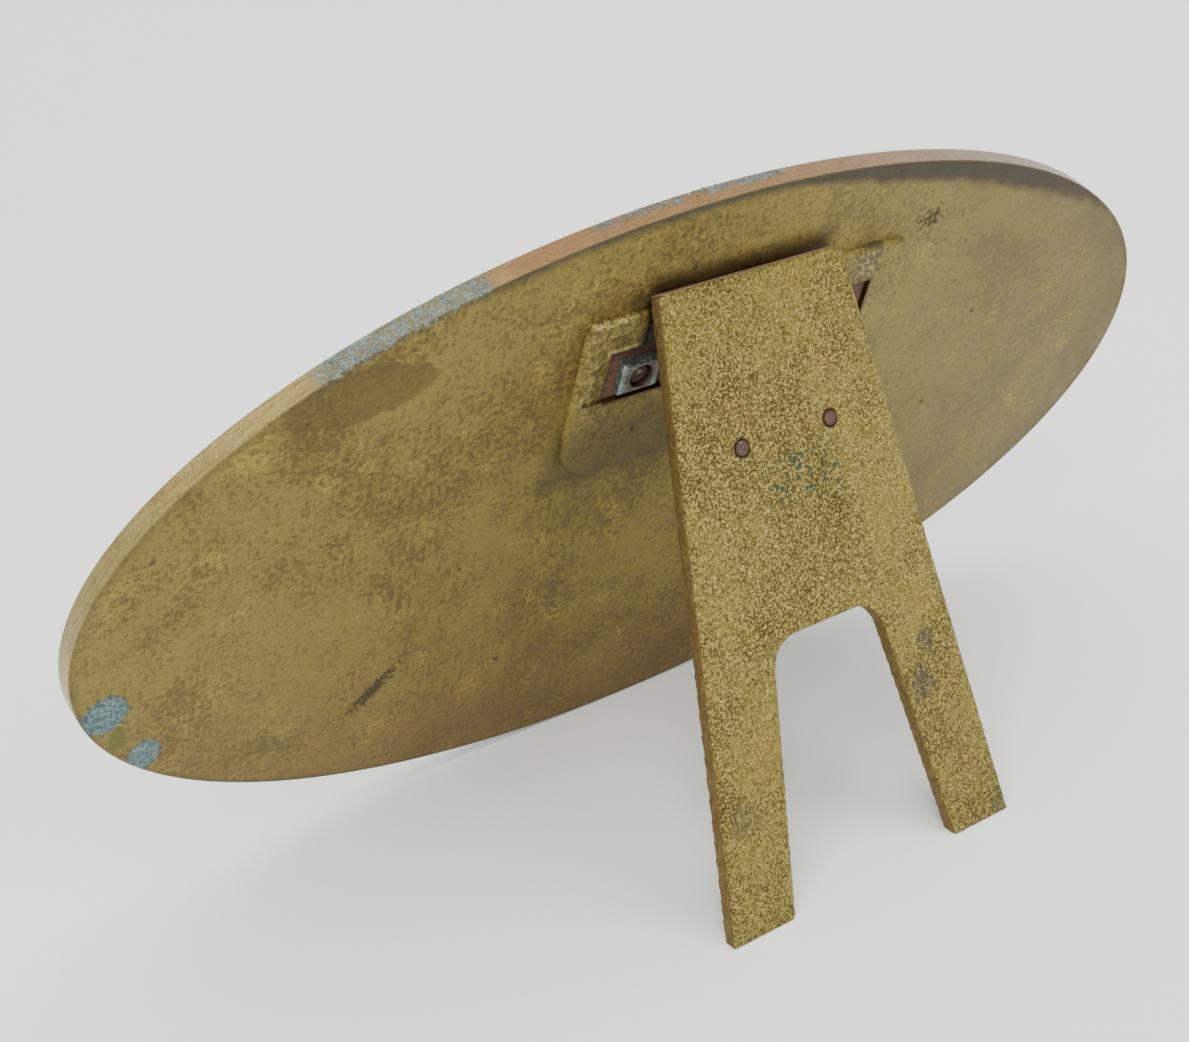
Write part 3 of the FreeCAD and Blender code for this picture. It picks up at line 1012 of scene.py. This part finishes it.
def settled(thing: bpy.types.Object) -> bpy.types.Mesh:
    """Return an object's mesh with its modifiers worked in.

    Args:
        thing: The object.

    Returns:
        A new plain mesh.
    """
    bpy.context.view_layer.update()
    graph = bpy.context.evaluated_depsgraph_get()
    return bpy.data.meshes.new_from_object(thing.evaluated_get(graph), depsgraph=graph)


@dataclass
class EaselStrut:
    """The cast strut, remade with a real sand-cast skin and hand-filed edges."""

    voxel: float = 0.00036
    grain_depth: float = 0.000055
    file_depth: float = 0.00018
    foot_up: float = -86.0
    bore_reach: float = 1.3
    bore_radius: float = 1.13
    rivet_spots: tuple[tuple[float, float], ...] = RIVETS
    place: LocalFrame = field(default_factory=strut_frame)

    def build(self) -> bpy.types.Object:
        """Build the strut's mesh from the CAD strut.

        Returns:
            The finished strut.
        """
        source = mesh_object("strut_source", frame["nodes"]["easel_strut"].data.copy())
        remesh = source.modifiers.new("skin", "REMESH")
        remesh.mode = "VOXEL"
        remesh.voxel_size = self.voxel
        mottle_mask = source.modifiers.new("worn_edges", "SMOOTH")
        mottle_mask.factor = 0.5
        mottle_mask.iterations = 5
        mesh = settled(source)
        bpy.data.objects.remove(source)
        self.roughen(mesh)
        strut = mesh_object("cast_strut", mesh)
        mesh.shade_smooth()
        return strut

    def roughen(self, mesh: bpy.types.Mesh) -> None:
        """Move each vertex for cast grain on the faces and file marks along the edges.

        Args:
            mesh: The strut's mesh, which is changed.
        """
        to_local = self.place.matrix().inverted()
        to_world = self.place.matrix()
        normals = [v.normal.copy() for v in mesh.vertices]
        turn = to_local.to_3x3()
        for vertex, normal in zip(mesh.vertices, normals):
            spot_mm = (to_local @ vertex.co) * 1000.0
            facing = turn @ normal
            grain = noise.noise(spot_mm * 1.7) * 0.6 + noise.noise(spot_mm * 3.4) * 0.4
            step = grain * self.grain_depth
            if abs(facing.z) < 0.5:
                file_marks = noise.noise(Vector((spot_mm.x * 0.12, spot_mm.y * 0.55, 7.0)))
                file_marks += 0.25 * noise.noise(Vector((spot_mm.x * 0.3, spot_mm.y * 1.1, 3.0)))
                step += file_marks * self.file_depth * min(1.0, max(0.0, (-spot_mm.y - 20.0) / 25.0))
            if spot_mm.y < self.foot_up and facing.y < -0.5:
                step = min(step, 0.0)
            moved = spot_mm + facing * step * 1000.0
            for cx, cy in self.rivet_spots:
                reach = math.hypot(spot_mm.x - cx, spot_mm.y - cy)
                if reach < self.bore_reach and abs(facing.z) < 0.8:
                    scale = self.bore_radius / max(reach, 1e-6)
                    moved.x, moved.y = cx + (spot_mm.x - cx) * scale, cy + (spot_mm.y - cy) * scale
            vertex.co = to_world @ (moved * 0.001)
        mesh.update()

    def dress(self, strut: bpy.types.Object) -> None:
        """Give the strut its finish and fix it to its body.

        Args:
            strut: The strut's object.
        """
        strut.data.materials.clear()
        strut.data.materials.append(StrutBrass().build())
        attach(strut, Side.STRUT.value)
        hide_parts("easel_strut")


class CrustTree:
    """A Geometry Nodes tree that scatters crust grains over a patch."""

    def __init__(self, name: str) -> None:
        """Start a tree with named inputs for grain size and density.

        Args:
            name: The tree's name.
        """
        self.tree = bpy.data.node_groups.new(name, "GeometryNodeTree")
        face = self.tree.interface
        face.new_socket("Patch", in_out="INPUT", socket_type="NodeSocketGeometry")
        self.sizes: dict[str, str] = {}
        for label, default in (("Grain size", 0.0003), ("Grains per square metre", 4.0e6),
                               ("Thinning", 0.45)):
            item = face.new_socket(label, in_out="INPUT", socket_type="NodeSocketFloat")
            item.default_value = default
            self.sizes[label] = item.identifier
        face.new_socket("Crust", in_out="OUTPUT", socket_type="NodeSocketGeometry")

    def add(self, kind: str, settings: dict[str, Any] | None = None,
            sockets: dict[Any, Any] | None = None) -> Any:
        """Add a node, set it and feed it.

        Args:
            kind: The node's type.
            settings: Properties, set first.
            sockets: Values or sockets to link, by name or index.

        Returns:
            The node.
        """
        node = self.tree.nodes.new(kind)
        for key, value in (settings or {}).items():
            setattr(node, key, value)
        for key, value in (sockets or {}).items():
            if isinstance(value, bpy.types.NodeSocket):
                self.tree.links.new(value, node.inputs[key])
            else:
                node.inputs[key].default_value = value
        return node

    def build(self, material: bpy.types.Material, seed: int) -> Any:
        """Wire the tree.

        Args:
            material: The crust's finish.
            seed: Seed of the scatter.

        Returns:
            The finished tree.
        """
        start = self.add("NodeGroupInput")
        size = start.outputs["Grain size"]
        veil = self.add("ShaderNodeTexNoise", None, {"Scale": 420.0, "Detail": 3.0})
        keep = self.add("ShaderNodeMath", {"operation": "GREATER_THAN"},
                        {0: veil.outputs["Fac"], 1: start.outputs["Thinning"]})
        dense = self.add("ShaderNodeMath", {"operation": "MULTIPLY"},
                         {0: keep.outputs[0], 1: start.outputs["Grains per square metre"]})
        points = self.add("GeometryNodeDistributePointsOnFaces", {"distribute_method": "RANDOM"},
                          {"Mesh": start.outputs["Patch"], "Density": dense.outputs[0], "Seed": seed})
        grain = self.add("GeometryNodeMeshIcoSphere", None, {"Radius": size, "Subdivisions": 2})
        uneven = self.add("FunctionNodeRandomValue", {"data_type": "FLOAT"},
                          {"Min": 0.35, "Max": 1.15, "Seed": seed + 1})
        flat = self.add("ShaderNodeCombineXYZ", None,
                        {"X": uneven.outputs[1], "Y": uneven.outputs[1], "Z": 0.45})
        placed = self.add("GeometryNodeInstanceOnPoints", None,
                          {"Points": points.outputs["Points"], "Instance": grain.outputs["Mesh"],
                           "Rotation": points.outputs["Rotation"], "Scale": flat.outputs[0]})
        real = self.add("GeometryNodeRealizeInstances", None, {0: placed.outputs[0]})
        wear = self.add("ShaderNodeTexNoise", None, {"Scale": 2600.0, "Detail": 2.0})
        shift = self.add("ShaderNodeVectorMath", {"operation": "SUBTRACT"},
                         {0: wear.outputs["Color"], 1: (0.5, 0.5, 0.5)})
        scaled = self.add("ShaderNodeVectorMath", {"operation": "SCALE"},
                          {0: shift.outputs[0], "Scale": size})
        rough = self.add("GeometryNodeSetPosition", None,
                         {"Geometry": real.outputs[0], "Offset": scaled.outputs[0]})
        painted = self.add("GeometryNodeSetMaterial", None,
                           {"Geometry": rough.outputs[0], "Material": material})
        self.add("NodeGroupOutput", None, {0: painted.outputs[0]})
        return self.tree


@dataclass
class VerdigrisCrust:
    """Raised grains of verdigris on the rim and at the plate's low end."""

    half_width: float = 0.1
    half_height: float = 0.052
    rim_runs: tuple[tuple[float, float, float, float], ...] = (
        (0.043, 0.067, 0.0003, 0.0034), (-0.005, 0.026, 0.0022, 0.0034))
    lumps: tuple[tuple[float, float, float, float], ...] = (
        (0.0950, -0.0090, 0.0030, 0.0032), (0.0892, -0.0200, 0.0022, 0.0025))
    grain_size: float = 0.00022
    density: float = 3.2e6
    thinning: float = 0.53
    place: LocalFrame = field(default_factory=plate_frame)

    def patch(self) -> bpy.types.Mesh:
        """Build the faces that the grains are scattered over.

        Returns:
            The patch, as an open mesh.
        """
        grid = bmesh.new()
        world = self.place.matrix()
        for low, high, near, far in self.rim_runs:
            rows = []
            for i in range(41):
                x = low + (high - low) * i / 40
                y = self.half_height * math.sqrt(1.0 - (x / self.half_width) ** 2)
                rows.append([grid.verts.new(world @ Vector((x, y, z))) for z in (near, far)])
            for (a, b), (c, d) in zip(rows, rows[1:]):
                grid.faces.new((a, b, d, c))
        for x, y, rx, ry in self.lumps:
            ring = [grid.verts.new(world @ Vector((x + rx * math.cos(t), y + ry * math.sin(t), 0.0)))
                    for t in (math.tau * i / 24 for i in range(24))]
            grid.faces.new(list(reversed(ring)))
        mesh = bpy.data.meshes.new("crust_patch")
        grid.to_mesh(mesh)
        grid.free()
        return mesh

    def build(self) -> bpy.types.Object:
        """Scatter the grains and return them as one plain mesh.

        Returns:
            The crust.
        """
        material = CrustFinish().build()
        base = mesh_object("crust_patch", self.patch())
        tree = CrustTree("verdigris_grains")
        built = tree.build(material, seed=11)
        scatter = base.modifiers.new("grains", "NODES")
        scatter.node_group = built
        for label, value in (("Grain size", self.grain_size), ("Grains per square metre", self.density),
                             ("Thinning", self.thinning)):
            scatter[tree.sizes[label]] = value
        mesh = settled(base)
        bpy.data.objects.remove(base)
        crust = mesh_object("verdigris_crust", mesh)
        mesh.shade_smooth()
        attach(crust, Side.PLATE.value)
        return crust


@dataclass
class Hardware:
    """The CAD nodes that keep their shape and only take a finish."""

    plate_nodes: tuple[str, ...] = ("hinge_leaf_fixed", "hinge_pin")
    studs: tuple[str, ...] = ("stud_left", "stud_right")
    strut_nodes: tuple[str, ...] = ("hinge_leaf_moving", "rivet_left", "rivet_right")
    nuts: tuple[str, ...] = ("nut_left", "nut_right")

    def dress(self) -> None:
        """Give the plate, the hinge, the studs, the nuts and the rivets their finishes."""
        # The fixed leaf and the pin take painted shade above 30 mm up the plate, inside the hinge slot.
        near = RustySteel(plate_frame(), "rusty_leaf_finish", painted_shade_above=30.0).build()
        far = RustySteel(strut_frame(), "rusty_rivet_finish", brown=(0.085, 0.036, 0.026),
                         dark=(0.045, 0.026, 0.020)).build()
        zinc = ZincSteel().build()
        for names, material in ((self.plate_nodes, near), (self.strut_nodes, far), (self.nuts, zinc),
                                (self.studs, StudSteel().build()),
                                (("plate",), PlateBrass().build())):
            for name in names:
                mesh = frame["nodes"][name].data
                mesh.materials.clear()
                mesh.materials.append(material)
                LOG.info("finish on %s", name)


# ---------------------------------------------------------------- studio
@dataclass
class Studio:
    """A pale cloth-coloured sweep, soft lights and the camera."""

    azimuth: float = 143.808
    elevation: float = 27.467
    roll: float = -0.855
    distance: float = 0.24822
    aim: tuple[float, float, float] = (0.03875, 0.0165, 0.06478)
    lens: float = 58.402

    def floor(self) -> None:
        """Lay a floor that curves up into a backdrop behind the object."""
        profile = [(-1.6, 0.0), (0.25, 0.0)]
        profile += [(0.25 + 0.3 * math.sin(t), 0.3 - 0.3 * math.cos(t))
                    for t in (math.pi / 2 * i / 16 for i in range(1, 17))]
        profile.append((0.55, 1.8))
        away = Vector((-math.sin(math.radians(self.azimuth)), math.cos(math.radians(self.azimuth)), 0.0))
        across = Vector((-away.y, away.x, 0.0))
        sweep = bmesh.new()
        rows = [[sweep.verts.new(away * d + across * s + Vector((0, 0, h))) for s in (-2.5, 2.5)]
                for d, h in profile]
        for (a, b), (c, d) in zip(rows, rows[1:]):
            sweep.faces.new((a, c, d, b))
        mesh = bpy.data.meshes.new("studio_floor")
        sweep.to_mesh(mesh)
        sweep.free()
        ground = mesh_object("studio_floor", mesh)
        mesh.shade_smooth()
        board = Board("pale_floor_finish")
        coord = board.node("ShaderNodeTexCoord")
        weave = board.cloud(board.stretch(coord.outputs["Object"], (900.0, 900.0, 900.0)), 1.0, 2.0)
        colour = board.blend(weave, (0.820, 0.850, 0.820), (0.880, 0.905, 0.880))
        mesh.materials.append(board.finish(colour, 0.95, 0.0))

    def lights(self) -> None:
        """Hang the soft lights and set the surrounding glow."""
        world = bpy.data.worlds.new("studio_glow")
        world.use_nodes = True
        glow = world.node_tree.nodes["Background"]
        glow.inputs[0].default_value = (0.90, 0.96, 1.0, 1.0)
        glow.inputs[1].default_value = 0.74
        bpy.context.scene.world = world
        for name, place, size, power in (
                ("key", (0.75, 0.55, 1.05), 0.9, 16.0), ("fill", (-0.6, 0.9, 0.8), 1.0, 6.0),
                ("top", (0.0, 0.0, 1.4), 1.2, 14.0)):
            lamp = bpy.data.lights.new(name, "AREA")
            lamp.size = size
            lamp.energy = power
            lamp.color = (1.0, 0.98, 0.95)
            thing = bpy.data.objects.new(name, lamp)
            thing.location = place
            thing.rotation_euler = (Vector((0, 0, 0.05)) - Vector(place)).to_track_quat("-Z", "Y").to_euler()
            bpy.context.scene.collection.objects.link(thing)

    def camera(self) -> None:
        """Set the camera behind the plate, above the strut."""
        azimuth, elevation, roll = (math.radians(v) for v in (self.azimuth, self.elevation, self.roll))
        back = Vector((math.sin(azimuth) * math.cos(elevation), -math.cos(azimuth) * math.cos(elevation),
                       math.sin(elevation)))
        right = (-back).cross(Vector((0, 0, 1))).normalized()
        up = right.cross(-back)
        right, up = (right * math.cos(roll) + up * math.sin(roll),
                     up * math.cos(roll) - right * math.sin(roll))
        place = Vector(self.aim) + back * self.distance
        lens = bpy.data.cameras.new("camera")
        lens.lens = self.lens
        lens.sensor_width = 36.0
        lens.clip_start = 0.01
        thing = bpy.data.objects.new("camera", lens)
        basis = Matrix((right, up, back)).transposed().to_4x4()
        thing.matrix_world = Matrix.Translation(place) @ basis
        bpy.context.scene.collection.objects.link(thing)
        bpy.context.scene.camera = thing


def main() -> None:
    """Build the pieces in order, then the studio."""
    logging.basicConfig(level=logging.INFO, format="%(message)s")
    Hardware().dress()
    strut = EaselStrut()
    cast = strut.build()
    strut.dress(cast)
    LOG.info("cast strut: %d faces", len(cast.data.polygons))
    crust = VerdigrisCrust().build()
    LOG.info("verdigris crust: %d faces", len(crust.data.polygons))
    studio = Studio()
    studio.floor()
    studio.lights()
    studio.camera()


if __name__ == "__main__":
    main()
